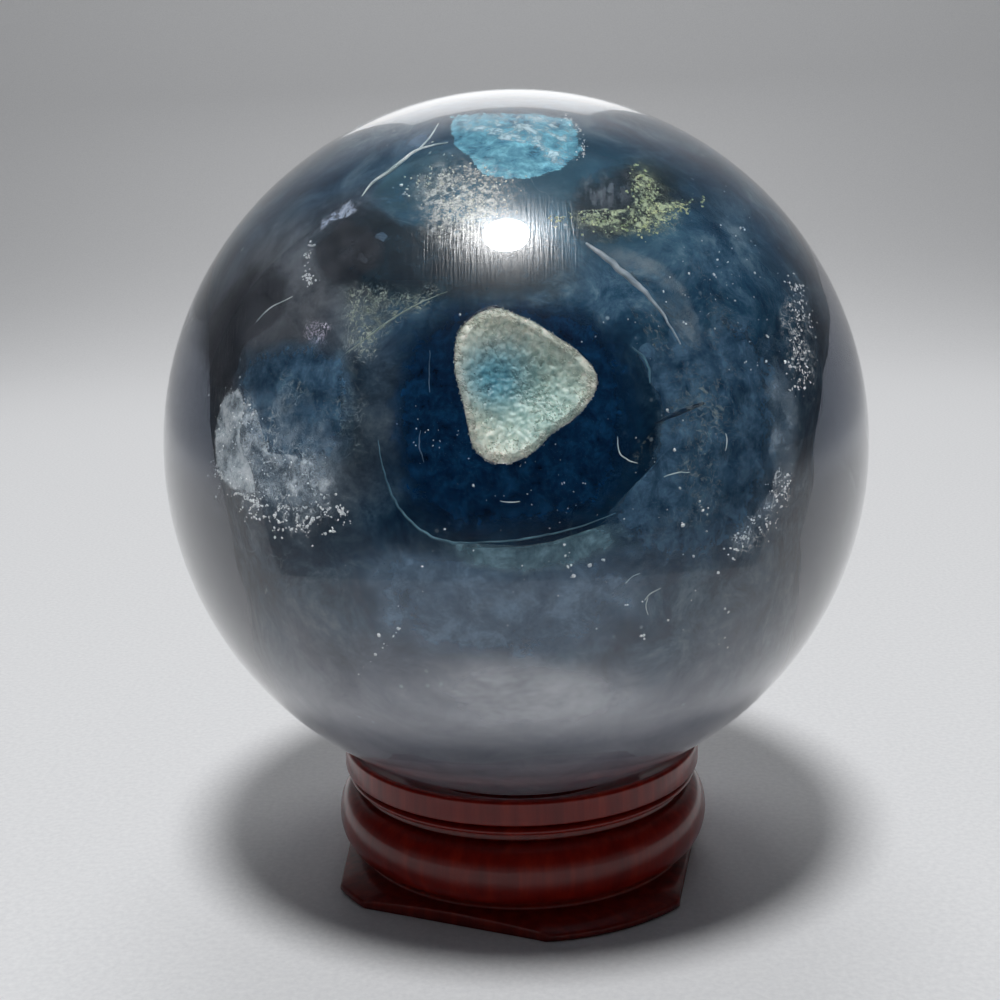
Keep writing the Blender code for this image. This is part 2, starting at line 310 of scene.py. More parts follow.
# Cracks and hairs: look, reach in ball radii, and places and widths in pixels of the photograph
THREADS = {
    "pale_vein": ("pale_cracks", 0.84, (
        (362, 196, 1), (372, 183, 3), (388, 172, 4), (402, 161, 4), (419, 149, 3), (448, 142, 1),
    )),
    "pale_vein_branch": ("pale_cracks", 0.84, ((419, 149, 2), (430, 137, 2), (439, 123, 1))),
    "arc_crack": ("arc_grey", 0.88, (
        (586, 243, 2), (605, 257, 5), (632, 280, 5.5), (652, 300, 3), (666, 318, 2), (680, 345, 1),
    )),
    "thin_arc": ("teal_cracks", 0.86, ((632, 347, 1), (642, 356, 2), (649, 368, 2), (650, 383, 1))),
    "bowl_line": ("teal_cracks", 0.80, (
        (378, 440, 0.6), (382, 462, 1.2), (389, 488, 2), (403, 513, 2), (427, 534, 2.2), (452, 542, 2.4),
        (490, 542, 1.4), (530, 538, 1.8), (575, 528, 1.4), (616, 513, 0.6),
    )),
    "pool_hair_left": ("faint_hairs", 0.90, ((421, 430, 0.5), (419, 446, 1), (424, 462, 0.5))),
    "pool_hair_right": ("faint_hairs", 0.90, ((430, 350, 0.5), (429, 370, 0.9), (430, 392, 0.5))),
    "right_slash": ("navy_slash", 0.74, ((655, 424, 1), (680, 412, 4), (704, 403, 2))),
    "feather_arc": ("feather_green", 0.84, (
        (345, 354, 0.5), (368, 337, 1.2), (392, 319, 1.3), (420, 303, 1.0), (448, 291, 0.5),
    )),
}

# Pale hairs near the polish: places and widths in pixels of the photograph
HAIR_REACH = 0.90
HAIRS = (
    ((645, 600, 0.5), (650, 594, 1), (661, 588, 0.5)),
    ((648, 598, 0.5), (646, 606, 0.75), (648, 615, 0.5)),
    ((618, 436, 0.5), (619, 450, 1), (627, 460, 1), (638, 463, 0.5)),
    ((725, 434, 0.5), (727, 443, 1), (725, 451, 0.5)),
    ((500, 501, 0.5), (510, 502, 1), (520, 501, 0.5)),
    ((664, 477, 0.5), (675, 473, 1), (690, 472, 0.5)),
    ((256, 322, 0.5), (270, 308, 1), (292, 297, 0.5)),
    ((640, 573, 0.5), (632, 577, 0.5), (626, 583, 0.5)),
)

# Crumbs: look, count, size in pixels, reach in ball radii, seed, how far off the lines of a lace they may lie
# (0: anywhere), and places and spreads in pixels of the photograph
CRUMBS = {
    "left_lace": ("white_crumbs", 520, 1.4, 0.90, 1, 0.10, (
        (220, 470, 8), (235, 488, 12), (252, 503, 14), (275, 515, 16), (300, 522, 16), (325, 508, 18),
        (338, 520, 12),
    )),
    "left_cloud_grit": ("white_crumbs", 260, 1.1, 0.90, 2, 0.10, (
        (240, 400, 26), (228, 440, 18), (240, 470, 24), (300, 480, 40),
    )),
    "right_grit": ("white_crumbs", 260, 1.5, 0.90, 3, 0.16, (
        (792, 278, 6), (800, 300, 10), (804, 322, 12), (800, 345, 14), (802, 365, 20), (806, 385, 14),
    )),
    "right_low_grit": ("white_crumbs", 140, 1.4, 0.90, 4, 0.14, (
        (790, 470, 10), (770, 510, 14), (748, 535, 12), (735, 552, 8),
    )),
    # Pale crumbs where the key's highlight glows on the polish: partly their own colour, partly a painted
    # highlight
    "grit_cream_painted_glow": ("crumbs_cream_painted_glow", 460, 1.3, 0.90, 5, 0.20, (
        (425, 175, 16), (455, 185, 34), (490, 200, 30), (455, 218, 26),
    )),
    "moss_needles": ("green_needles", 300, 1.4, 0.85, 6, 0.14, (
        (636, 166, 5), (642, 185, 12), (650, 205, 14), (645, 228, 12), (668, 212, 10), (700, 200, 5),
    )),
    "moss_left_needles": ("green_needles", 130, 1.3, 0.85, 7, 0.14, (
        (552, 222, 6), (580, 220, 8), (610, 225, 10), (640, 226, 8),
    )),
    "crumb_knot": ("white_crumbs", 80, 1.5, 0.86, 8, 0, (
        (308, 276, 4), (311, 283, 6), (306, 262, 4), (312, 244, 3),
    )),
    "teal_rim_grit": ("white_crumbs", 60, 1.4, 0.82, 10, 0, ((566, 118, 4), (582, 135, 5), (584, 155, 6))),
    "scattered_dust": ("white_crumbs", 200, 0.8, 0.88, 11, 0.12, (
        (400, 180, 60), (700, 300, 80), (740, 260, 60), (660, 480, 90), (420, 430, 40), (560, 480, 60),
        (470, 600, 120),
    )),
    "specks": ("white_crumbs", 110, 1.8, 0.90, 12, 0, (
        (399, 628, 5), (367, 655, 5), (604, 322, 3), (763, 362, 3), (727, 189, 3), (713, 282, 4),
        (665, 296, 8), (690, 594, 2), (704, 505, 8), (722, 645, 6), (571, 554, 4), (594, 613, 4),
        (403, 184, 2), (643, 636, 3),
    )),
}

# What fills the sides and back, which the photograph doesn't show. Each film is drawn as if in front, then
# turned about the upright axis. Turns are in degrees, sizes, rise and widths in pixels, reaches in radii.
FAR_FILM_COUNT = 24
FAR_TURNS = (95, 265)
FAR_SPREAD = 0.60
FAR_RISE = 20
FAR_SIZES = (22, 84)
FAR_REACHES = (0.72, 0.90)
FAR_CELLS = 20
FAR_GRIT_REACH = 0.88
FAR_GRIT_COUNT = 240
FAR_GRIT_SIZE = 2.0
FAR_GRIT_LACE = 0.16
FAR_CRACK_WIDTHS = (0.6, 2.0, 1.6, 0.5)
FAR_SEED = 33
# Every so many films carries crumbs, and the next one a crack
FAR_EVERY = 3
FAR_LOOKS = (
    "soft_veil", "blue_haze", "blue_field", "brown_grey_ghost", "white_cloud", "low_blue_field",
    "green_feather", "slate_field", "conchoidal_film",
)

# The inclusions have lamps of their own, which light nothing else and cast no shadow
inside_the_crystal = bpy.data.collections.new("inside_the_crystal")


def camera_axes():
    """The camera's right, up and back in the world, as rows."""
    elevation = radians(CAMERA_ELEVATION)
    level = Matrix(((1, 0, 0), (0, sin(elevation), cos(elevation)), (0, -cos(elevation), sin(elevation))))
    roll = Matrix.Rotation(radians(CAMERA_ROLL), 3, "Z")
    pitch = Matrix.Rotation(radians(CAMERA_PITCH), 3, "X")
    yaw = Matrix.Rotation(radians(CAMERA_YAW), 3, "Y")
    return roll @ pitch @ yaw @ level


def camera_place():
    """The camera's place in the world, in front of the ball and a little above it."""
    elevation = radians(CAMERA_ELEVATION)
    back = Vector((0, -cos(elevation), sin(elevation)))
    return BALL_CENTRE + back * CAMERA_DISTANCE * BALL_RADIUS


def sight_line(x, y):
    """Direction from the camera through a pixel of the photograph."""
    half = PHOTO_WIDTH / 2
    seen = Vector(((x - half) / LENS_PIXELS, (half - y) / LENS_PIXELS, -1))
    return (camera_axes().transposed() @ seen).normalized()


def on_ball(x, y):
    """Where the sight line through a pixel meets the ball's polished surface."""
    start = camera_place() - BALL_CENTRE
    way = sight_line(x, y)
    along = start.dot(way)
    inside = max(along**2 - start.dot(start) + BALL_RADIUS**2, 0)
    return start + way * (-along - sqrt(inside))


def in_ball(x, y, reach, turn=0.0):
    """The point at a reach from the ball's middle that shows through the glass at a pixel, then turned."""
    surface = on_ball(x, y)
    way = sight_line(x, y)
    outward = surface.normalized()
    ratio = 1 / CRYSTAL_IOR
    cosine = -outward.dot(way)
    root = sqrt(1 - ratio**2 * (1 - cosine**2))
    bent = way * ratio + outward * (ratio * cosine - root)
    along = surface.dot(bent)
    radius = reach * BALL_RADIUS
    inside = max(along**2 - surface.dot(surface) + radius**2, 0)
    return Matrix.Rotation(radians(turn), 3, "Z") @ (surface + bent * (-along - sqrt(inside))) + BALL_CENTRE


def select_none():
    """Leaves edit mode with nothing selected."""
    if bpy.context.object and bpy.context.object.mode != "OBJECT":
        bpy.ops.object.mode_set(mode="OBJECT")
    bpy.ops.object.select_all(action="DESELECT")


def take(name):
    """Names the primitive that was just added, and returns it."""
    piece = bpy.context.object
    piece.name = name
    piece.data.name = name
    return piece


def place_in_mesh():
    """Puts the primitive's own place into its mesh, so that the piece stands at the origin."""
    bpy.ops.object.transform_apply(location=True, rotation=True, scale=True)


def apply_modifier(piece, kind, **settings):
    """Adds a modifier and applies it at once."""
    modifier = piece.modifiers.new(kind.title(), kind)
    for key, value in settings.items():
        setattr(modifier, key, value)
    select_none()
    piece.select_set(True)
    bpy.context.view_layer.objects.active = piece
    bpy.ops.object.modifier_apply(modifier=modifier.name)


def select_where(piece, wanted):
    """Selects the vertices whose place is wanted, and leaves all else unselected."""
    piece.data.polygons.foreach_set("select", [False] * len(piece.data.polygons))
    piece.data.edges.foreach_set("select", [False] * len(piece.data.edges))
    for point in piece.data.vertices:
        point.select = wanted(point.co)


def lump(piece, size, height):
    """Raises and sinks the surface by clouds of a given size."""
    texture = bpy.data.textures.new("clouds", "CLOUDS")
    texture.noise_scale = size
    apply_modifier(
        piece, "DISPLACE", texture=texture, texture_coords="GLOBAL", strength=height, mid_level=0.5
    )


def hand_over(piece, material, node=None, sealed=False):
    """Gives a finished piece its material and ties it to the frame."""
    if sealed:
        inside_the_crystal.objects.link(piece)
    piece.data.materials.clear()
    piece.data.materials.append(material)
    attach(piece, "root")
    if node:
        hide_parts(node)
    return piece


def new_material(name):
    """A material with its nodes, its links and its shader."""
    material = bpy.data.materials.new(name)
    material.use_nodes = True
    nodes = material.node_tree.nodes
    return material, nodes, material.node_tree.links, nodes["Principled BSDF"]


def object_noise(nodes, links, scale, detail=6, roughness=0.55, stretch=EVEN, distortion=0.0):
    """A noise pattern on Object coordinates, stretched along the axes."""
    place = nodes.new("ShaderNodeTexCoord")
    mapping = nodes.new("ShaderNodeMapping")
    mapping.inputs["Scale"].default_value = stretch
    pattern = nodes.new("ShaderNodeTexNoise")
    pattern.inputs["Scale"].default_value = scale
    pattern.inputs["Detail"].default_value = detail
    pattern.inputs["Roughness"].default_value = roughness
    pattern.inputs["Distortion"].default_value = distortion
    links.new(place.outputs["Object"], mapping.inputs["Vector"])
    links.new(mapping.outputs["Vector"], pattern.inputs["Vector"])
    return pattern.outputs["Fac"]


def calculate(nodes, links, operation, first, second):
    """One step of arithmetic on values or sockets."""
    step = nodes.new("ShaderNodeMath")
    step.operation = operation
    for socket, value in zip(step.inputs, (first, second)):
        if isinstance(value, (int, float)):
            socket.default_value = value
        else:
            links.new(value, socket)
    return step.outputs["Value"]


def ease_between(nodes, links, source, low, high, start=0.0, end=1.0):
    """Runs smoothly from one value to another while the source goes from low to high."""
    step = nodes.new("ShaderNodeMapRange")
    step.interpolation_type = "SMOOTHSTEP"
    step.inputs["From Min"].default_value = low
    step.inputs["From Max"].default_value = high
    step.inputs["To Min"].default_value = start
    step.inputs["To Max"].default_value = end
    links.new(source, step.inputs["Value"])
    return step.outputs["Result"]


def blend_colours(nodes, links, share, first, second):
    """Runs from one colour or socket to another as the share goes from none to one."""
    blend = nodes.new("ShaderNodeMix")
    blend.data_type = "RGBA"
    links.new(share, blend.inputs["Factor"])
    for socket, value in ((blend.inputs["A"], first), (blend.inputs["B"], second)):
        if isinstance(value, tuple):
            socket.default_value = (*value, 1)
        else:
            links.new(value, socket)
    return blend.outputs["Result"]


def ball_place(nodes, links, wander=0.0):
    """Place in ball radii from the ball's middle, pushed about by a noise so that zones get ragged edges."""
    place = nodes.new("ShaderNodeTexCoord")
    mapping = nodes.new("ShaderNodeMapping")
    mapping.inputs["Location"].default_value = -BALL_CENTRE / BALL_RADIUS
    mapping.inputs["Scale"].default_value = (1 / BALL_RADIUS,) * 3
    links.new(place.outputs["Object"], mapping.inputs["Vector"])
    if not wander:
        return mapping.outputs["Vector"]
    pattern = nodes.new("ShaderNodeTexNoise")
    pattern.inputs["Scale"].default_value = 3.0
    pattern.inputs["Detail"].default_value = 3
    links.new(mapping.outputs["Vector"], pattern.inputs["Vector"])
    push = nodes.new("ShaderNodeVectorMath")
    push.operation = "MULTIPLY_ADD"
    links.new(pattern.outputs["Color"], push.inputs[0])
    push.inputs[1].default_value = (wander,) * 3
    push.inputs[2].default_value = (-wander / 2,) * 3
    total = nodes.new("ShaderNodeVectorMath")
    total.operation = "ADD"
    links.new(mapping.outputs["Vector"], total.inputs[0])
    links.new(push.outputs["Vector"], total.inputs[1])
    return total.outputs["Vector"]


def near(nodes, links, place, middle, inner, outer):
    """One near a point and none beyond a distance from it."""
    gap = nodes.new("ShaderNodeVectorMath")
    gap.operation = "DISTANCE"
    links.new(place, gap.inputs[0])
    gap.inputs[1].default_value = middle
    return ease_between(nodes, links, gap.outputs["Value"], inner, outer, 1.0, 0.0)


def fine_lines(nodes, links, scale, width, distortion=1.5):
    """Thin wandering lines, where a noise crosses its middle value."""
    pattern = object_noise(nodes, links, scale, 3, 0.5, distortion=distortion)
    side = calculate(nodes, links, "SUBTRACT", pattern, 0.5)
    away = calculate(nodes, links, "ABSOLUTE", side, 0.0)
    return ease_between(nodes, links, away, 0.0, width, 1.0, 0.0)


def flecks(nodes, links, scale, size, share):
    """Small bright points, kept only in some of the cells of a cell pattern."""
    place = nodes.new("ShaderNodeTexCoord")
    cells = nodes.new("ShaderNodeTexVoronoi")
    cells.inputs["Scale"].default_value = scale
    links.new(place.outputs["Object"], cells.inputs["Vector"])
    split = nodes.new("ShaderNodeSeparateColor")
    links.new(cells.outputs["Color"], split.inputs["Color"])
    kept = calculate(nodes, links, "LESS_THAN", split.outputs["Red"], share)
    dot = ease_between(nodes, links, cells.outputs["Distance"], size * 0.4, size, 1.0, 0.0)
    return calculate(nodes, links, "MULTIPLY", dot, kept)


def colour_ramp(nodes, links, source, stops):
    """Colours at positions between which the source runs."""
    ramp = nodes.new("ShaderNodeValToRGB")
    while len(ramp.color_ramp.elements) < len(stops):
        ramp.color_ramp.elements.new(0.5)
    for element, (position, colour) in zip(ramp.color_ramp.elements, stops):
        element.position = position
        element.color = (*colour, 1)
    links.new(source, ramp.inputs["Fac"])
    return ramp.outputs["Color"]


def bump(nodes, links, socket, source, strength, distance):
    """A fine relief of the finish, on a shader's normal or coat normal socket."""
    relief = nodes.new("ShaderNodeBump")
    relief.inputs["Strength"].default_value = strength
    relief.inputs["Distance"].default_value = distance
    links.new(source, relief.inputs["Height"])
    links.new(relief.outputs["Normal"], socket)


def absorb(nodes, links, colour, density):
    """Fills the piece with clear tinted stone."""
    tint = nodes.new("ShaderNodeVolumeAbsorption")
    tint.inputs["Color"].default_value = (*colour, 1)
    tint.inputs["Density"].default_value = density
    links.new(tint.outputs["Volume"], nodes["Material Output"].inputs["Volume"])


def pocket_reach(turn):
    """How far the pocket's edge lies from its middle, on a smooth closed curve."""
    degrees = np.degrees(turn) % 360
    marks = sorted(((mark - degrees + 180) % 360 - 180, reach) for mark, reach in POCKET_EDGE)
    after = next(i for i, (offset, _) in enumerate(marks) if offset > 0)
    (x0, y0), (x1, y1), (x2, y2), (x3, y3) = marks[after - 2 : after + 2]
    span = x2 - x1
    t = -x1 / span
    lead = t * (1 - t) ** 2 * span * (y2 - y0) / (x2 - x0)
    trail = t * t * (1 - t) * span * (y3 - y1) / (x3 - x1)
    return POCKET_SIZE * (y1 + (y2 - y1) * t * t * (3 - 2 * t) + lead - trail)


def pocket_axes():
    """The pocket's right, up and outward directions, as columns."""
    azimuth = radians(POCKET_AZIMUTH)
    elevation = radians(POCKET_ELEVATION)
    outward = Vector((sin(azimuth) * cos(elevation), -cos(azimuth) * cos(elevation), sin(elevation)))
    right = Vector((cos(azimuth), sin(azimuth), 0))
    up = outward.cross(right)
    return Matrix((right, up, outward)).transposed()


def make_polished_ball():
    """A fine ball with its pole at the pocket, whose first rows follow the pocket's edge inwards."""
    rows_inside = 26
    rows = 150
    blend_rows = 10
    select_none()
    bpy.ops.mesh.primitive_uv_sphere_add(segments=176, ring_count=rows, radius=BALL_RADIUS)
    ball = take("polished_ball")
    turn_to_pocket = pocket_axes()
    edge_polar = POCKET_SIZE / BALL_RADIUS
    for point in ball.data.vertices:
        place = point.co
        polar = place.angle(Vector((0, 0, 1)), 0)
        turn = np.arctan2(place.y, place.x)
        row = polar / pi * rows
        edge = pocket_reach(turn) / BALL_RADIUS
        depth = 0
        if row <= rows_inside:
            share = row / rows_inside
            angle = edge * share
            depth = POCKET_DEPTH * (1 - share**3)
        else:
            even = edge_polar + (pi - edge_polar) * (row - rows_inside) / (rows - rows_inside)
            blend = min(1, (row - rows_inside) / blend_rows)
            angle = edge + (even - edge) * blend
        flat = Vector((cos(turn) * sin(angle), sin(turn) * sin(angle), cos(angle)))
        point.co = turn_to_pocket @ flat * (BALL_RADIUS - depth) + BALL_CENTRE
    ball.data.shade_smooth()
    return hand_over(ball, crystal_material(), "crystal_sphere")


def crystal_material():
    """Clear, faintly tinted stone under a soft gloss with the fine upright strokes of the polishing."""
    material, nodes, links, shader = new_material("polished_fluorite")
    shader.inputs["Base Color"].default_value = (0.93, 0.94, 0.98, 1)
    shader.inputs["Transmission Weight"].default_value = 1.0
    shader.inputs["Roughness"].default_value = 0.0
    shader.inputs["IOR"].default_value = CRYSTAL_IOR
    shader.inputs["Coat Weight"].default_value = 1.0
    shader.inputs["Coat Roughness"].default_value = 0.24
    upright = (1, 0.06, 0.06)
    scratches = object_noise(nodes, links, 6500, 3, 0.6, upright)
    bump(nodes, links, shader.inputs["Coat Normal"], scratches, 0.6, 0.035 * MM)
    absorb(nodes, links, (0.70, 0.71, 0.76), 32)
    return material


def swell(piece, wanted, growth, reach):
    """Widens part of a piece from the ball's middle, and what is near it more and more softly."""
    select_where(piece, wanted)
    bpy.ops.object.mode_set(mode="EDIT")
    bpy.ops.transform.resize(
        value=growth,
        center_override=BALL_CENTRE,
        use_proportional_edit=True,
        proportional_edit_falloff="SMOOTH",
        proportional_size=reach,
    )
    bpy.ops.object.mode_set(mode="OBJECT")


def make_blue_heart():
    """The blue heart of the stone, wider at its head and towards its milky foot."""
    foot = BALL_CENTRE.z - 0.50 * BALL_RADIUS
    head = BALL_CENTRE.z + 0.42 * BALL_RADIUS
    select_none()
    bpy.ops.mesh.primitive_ico_sphere_add(
        subdivisions=6, radius=HEART_REACH * BALL_RADIUS, location=BALL_CENTRE
    )
    heart = take("blue_heart")
    place_in_mesh()
    swell(heart, lambda place: place.z < foot, (1.22, 1.22, 1.17), 0.42 * BALL_RADIUS)
    swell(heart, lambda place: place.z > head, (1.25, 1.25, 1.12), 0.5 * BALL_RADIUS)
    select_none()
    lump(heart, 16 * MM, 2.4 * MM)
    lump(heart, 4 * MM, 0.5 * MM)
    heart.data.shade_smooth()
    return hand_over(heart, heart_material(), sealed=True)


def make_smoke():
    """Clear stone, tinted blue-grey, that darkens softly from the polish towards the heart."""
    select_none()
    bpy.ops.mesh.primitive_ico_sphere_add(
        subdivisions=5, radius=SMOKE_REACH * BALL_RADIUS, location=BALL_CENTRE
    )
    smoke = take("smoky_layer")
    place_in_mesh()
    lump(smoke, 14 * MM, 1.2 * MM)
    smoke.data.shade_smooth()
    material, nodes, links, shader = new_material("smoky_fluorite")
    shader.inputs["Base Color"].default_value = (1, 1, 1, 1)
    shader.inputs["Transmission Weight"].default_value = 1.0
    shader.inputs["Roughness"].default_value = 0.0
    shader.inputs["IOR"].default_value = 1.0
    absorb(nodes, links, (0.46, 0.50, 0.54), 135)
    return hand_over(smoke, material)


def heart_material():
    """Navy round the pocket, slate and teal clouds about it, grey to the left, milky below."""
    material, nodes, links, shader = new_material("blue_heart_zones")
    place = ball_place(nodes, links, 0.35)
    clouds = object_noise(nodes, links, 210, 7, 0.76, (1, 1, 1.2), 0.4)
    colour = colour_ramp(nodes, links, clouds, (
        (0.34, (0.006, 0.028, 0.065)),
        (0.47, (0.020, 0.070, 0.125)),
        (0.56, (0.060, 0.135, 0.200)),
        (0.66, (0.170, 0.260, 0.320)),
    ))
    grey = near(nodes, links, place, (-0.50, -0.22, 0.26), 0.20, 0.50)
    smoky = colour_ramp(nodes, links, clouds, ((0.3, (0.045, 0.055, 0.065)), (0.7, (0.20, 0.22, 0.24))))
    colour = blend_colours(nodes, links, grey, colour, smoky)
    teal = near(nodes, links, place, (0.05, -0.30, 0.62), 0.12, 0.42)
    teal = calculate(nodes, links, "MULTIPLY", teal, 0.6)
    colour = blend_colours(nodes, links, teal, colour, (0.03, 0.16, 0.24))
    split = nodes.new("ShaderNodeSeparateXYZ")
    links.new(place, split.inputs["Vector"])
    milky = ease_between(nodes, links, split.outputs["Z"], -0.24, -0.56, 0.0, 1.0)
    milk = colour_ramp(nodes, links, clouds, ((0.3, (0.19, 0.21, 0.25)), (0.7, (0.42, 0.43, 0.46))))
    colour = blend_colours(nodes, links, milky, colour, milk)
    navy = near(nodes, links, place, (0.03, -0.60, 0.10), 0.24, 0.38)
    deep = colour_ramp(nodes, links, clouds, ((0.35, (0.0006, 0.008, 0.030)), (0.62, (0.010, 0.055, 0.115))))
    colour = blend_colours(nodes, links, navy, colour, deep)
    veins = fine_lines(nodes, links, 120, 0.006)
    gaps = object_noise(nodes, links, 90, 3)
    veins = calculate(nodes, links, "MULTIPLY", veins, ease_between(nodes, links, gaps, 0.48, 0.68))
    veins = calculate(nodes, links, "MULTIPLY", veins, 0.35)
    colour = blend_colours(nodes, links, veins, colour, (0.35, 0.50, 0.56))
    dots = flecks(nodes, links, 1100, 0.22, 0.10)
    dots = calculate(nodes, links, "MULTIPLY", dots, ease_between(nodes, links, gaps, 0.40, 0.66))
    dots = calculate(nodes, links, "MULTIPLY", dots, 0.8)
    colour = blend_colours(nodes, links, dots, colour, (0.60, 0.72, 0.76))
    links.new(colour, shader.inputs["Base Color"])
    shader.inputs["Roughness"].default_value = 0.7
    shader.inputs["Specular IOR Level"].default_value = 0.1
    return material


def smooth_path(points, steps, closed=False):
    """Points on a smooth curve through given points, which may have any number of values each."""
    marks = [np.array(point, float) for point in points]
    count = len(marks)
    path = []
    for index in range(count if closed else count - 1):
        before = marks[index - 1] if closed or index else marks[0]
        first, second = marks[index], marks[(index + 1) % count]
        after = marks[(index + 2) % count] if closed or index + 2 < count else marks[-1]
        for share in np.arange(steps) / steps:
            curve = 2 * first + (second - before) * share
            curve += (2 * before - 5 * first + 4 * second - after) * share**2
            curve += (3 * first - before - 3 * second + after) * share**3
            path.append(curve / 2)
    if not closed:
        path.append(marks[-1])
    return path


def edge_reach(outline, middle, turn):
    """How far an outline lies from its middle, along a ray at a turn."""
    way = np.array((cos(turn), sin(turn)))
    reach = 1.0
    for start, end in zip(outline, outline[1:] + outline[:1]):
        side = end - start
        cross = way[0] * side[1] - way[1] * side[0]
        if abs(cross) < 1e-9:
            continue
        gap = start - middle
        along = (gap[0] * side[1] - gap[1] * side[0]) / cross
        share = (gap[0] * way[1] - gap[1] * way[0]) / cross
        if along > 0 and 0 <= share <= 1:
            reach = max(reach, along)
    return reach


def lay_veil(name, outline, reach, material, cells, turned=0.0):
    """A thin, rippled sheet at a reach in ball radii, which shows within an outline of the photograph."""
    ripple = 0.012
    ripple_length = 22
    smooth = smooth_path(outline, 5, closed=True)
    middle = sum(smooth) / len(smooth)
    select_none()
    bpy.ops.mesh.primitive_grid_add(x_subdivisions=cells, y_subdivisions=cells, size=2)
    veil = take(name)
    inwards = veil.data.attributes.new("inwards", "FLOAT", "POINT")
    edges = {}
    for point, fade in zip(veil.data.vertices, inwards.data):
        across, down = point.co.x, point.co.y
        share = max(abs(across), abs(down))
        turn = np.arctan2(down, across)
        ray = round(turn, 4)
        if ray not in edges:
            edges[ray] = edge_reach(smooth, middle, turn)
        x, y = middle + edges[ray] * share * np.array((cos(turn), sin(turn)))
        sway = noise.noise(Vector((x / ripple_length, y / ripple_length, reach * 40)))
        point.co = in_ball(x, y, reach + ripple * sway, turned)
        fade.value = 1 - share
    veil.data.shade_smooth()
    return hand_over(veil, material, sealed=True)


def lay_thread(name, points, reach, material, turned=0.0):
    """A thin crack or hair through points of the photograph, each with its width in pixels there."""
    thinnest = 0.3
    wander = 1.2
    wander_length = 9
    path = smooth_path(points, 8)
    curve = bpy.data.curves.new(name, "CURVE")
    curve.dimensions = "3D"
    curve.bevel_depth = 1
    curve.bevel_resolution = 1
    curve.use_fill_caps = True
    line = curve.splines.new("POLY")
    line.points.add(len(path) - 1)
    for mark, (x, y, width) in zip(line.points, path):
        sway = noise.noise(Vector((x / wander_length, y / wander_length, reach * 30))) * wander
        mark.co = (*in_ball(x + sway, y - sway, reach, turned), 1)
        mark.radius = max(width, thinnest) * PIXEL / 2
    thread = bpy.data.objects.new(name, curve)
    bpy.context.scene.collection.objects.link(thread)
    select_none()
    thread.select_set(True)
    bpy.context.view_layer.objects.active = thread
    bpy.ops.object.convert(target="MESH")
    thread.data.shade_smooth()
    return hand_over(thread, material, sealed=True)


def crumb_pattern():
    """Corners and sides of a small lump, which the crumbs and grains repeat."""
    select_none()
    bpy.ops.mesh.primitive_ico_sphere_add(subdivisions=1, radius=1)
    pattern = take("crumb_pattern")
    corners = np.array([point.co for point in pattern.data.vertices])
    sides = [list(face.vertices) for face in pattern.data.polygons]
    bpy.data.objects.remove(pattern)
    return corners, sides


def add_crumb(places, faces, corners, sides, spot, size, random):
    """Adds one lump of its own shape and turn to the lists of a mesh's corners and sides."""
    turn = Matrix.Rotation(random.uniform(0, tau), 3, Vector(random.normal(size=3)).normalized())
    rough = corners * random.uniform(0.7, 1.2, (len(corners), 1)) * size * random.uniform(0.5, 1.3, 3)
    first = len(places)
    places += [turn @ Vector(corner) + spot for corner in rough]
    faces += [[first + corner for corner in side] for side in sides]


def piece_from_lists(name, places, faces):
    """A piece made of the lumps in the lists."""
    mesh = bpy.data.meshes.new(name)
    mesh.from_pydata(places, [], faces)
    piece = bpy.data.objects.new(name, mesh)
    bpy.context.scene.collection.objects.link(piece)
    return piece


def scatter_crumbs(name, points, count, size, reach, material, seed, lace=0.0, turned=0.0):
    """Tiny crystals along a path of the photograph, whose points give place and spread in pixels."""
    limb = 0.97
    lace_size = 11
    scatter = 0.02
    middle_x, middle_y, radius = BALL_PIXEL
    random = np.random.default_rng(seed)
    path = np.array(smooth_path(points, 10))
    corners, sides = crumb_pattern()
    places, faces = [], []
    while len(places) < count * len(corners):
        x, y, spread = path[random.integers(len(path))]
        x, y = x + random.normal() * spread / 2, y + random.normal() * spread / 2
        if sqrt((x - middle_x) ** 2 + (y - middle_y) ** 2) > limb * radius:
            continue
        if lace and abs(noise.noise(Vector((x / lace_size, y / lace_size, seed)))) > lace:
            continue
        spot = in_ball(x, y, reach + random.uniform(-scatter, scatter), turned)
        own_size = size * PIXEL * random.uniform(0.3, 1.0) ** 1.5
        add_crumb(places, faces, corners, sides, spot, own_size, random)
    return hand_over(piece_from_lists(name, places, faces), material, sealed=True)


def veil_material(name, dark, light, cover, softness, scale, gaps, ragged, stretch=EVEN, lace=0):
    """A cloudy film, ragged at its edge and open where the cloud is thin, or a lace of fine lines."""
    light_share = 0.38
    material, nodes, links, shader = new_material(name)
    cloud = object_noise(nodes, links, scale, 5, 0.74, stretch, 0.3)
    middle = tuple(low * (1 - light_share) + high * light_share for low, high in zip(dark, light))
    colour = colour_ramp(nodes, links, cloud, ((0.30, dark), (0.50, middle), (0.70, light)))
    links.new(colour, shader.inputs["Base Color"])
    shader.inputs["Roughness"].default_value = 0.8
    shader.inputs["Specular IOR Level"].default_value = 0.0
    edge = nodes.new("ShaderNodeAttribute")
    edge.attribute_name = "inwards"
    wave = calculate(nodes, links, "MULTIPLY", calculate(nodes, links, "SUBTRACT", cloud, 0.5), ragged)
    inside = calculate(nodes, links, "ADD", edge.outputs["Fac"], wave)
    fade = ease_between(nodes, links, inside, 0.02, softness)
    holes = ease_between(nodes, links, cloud, *gaps)
    alpha = calculate(nodes, links, "MULTIPLY", fade, holes)
    alpha = calculate(nodes, links, "MULTIPLY", alpha, cover)
    if lace:
        alpha = calculate(nodes, links, "MULTIPLY", alpha, fine_lines(nodes, links, lace, 0.05, 0.8))
    links.new(alpha, shader.inputs["Alpha"])
    return material


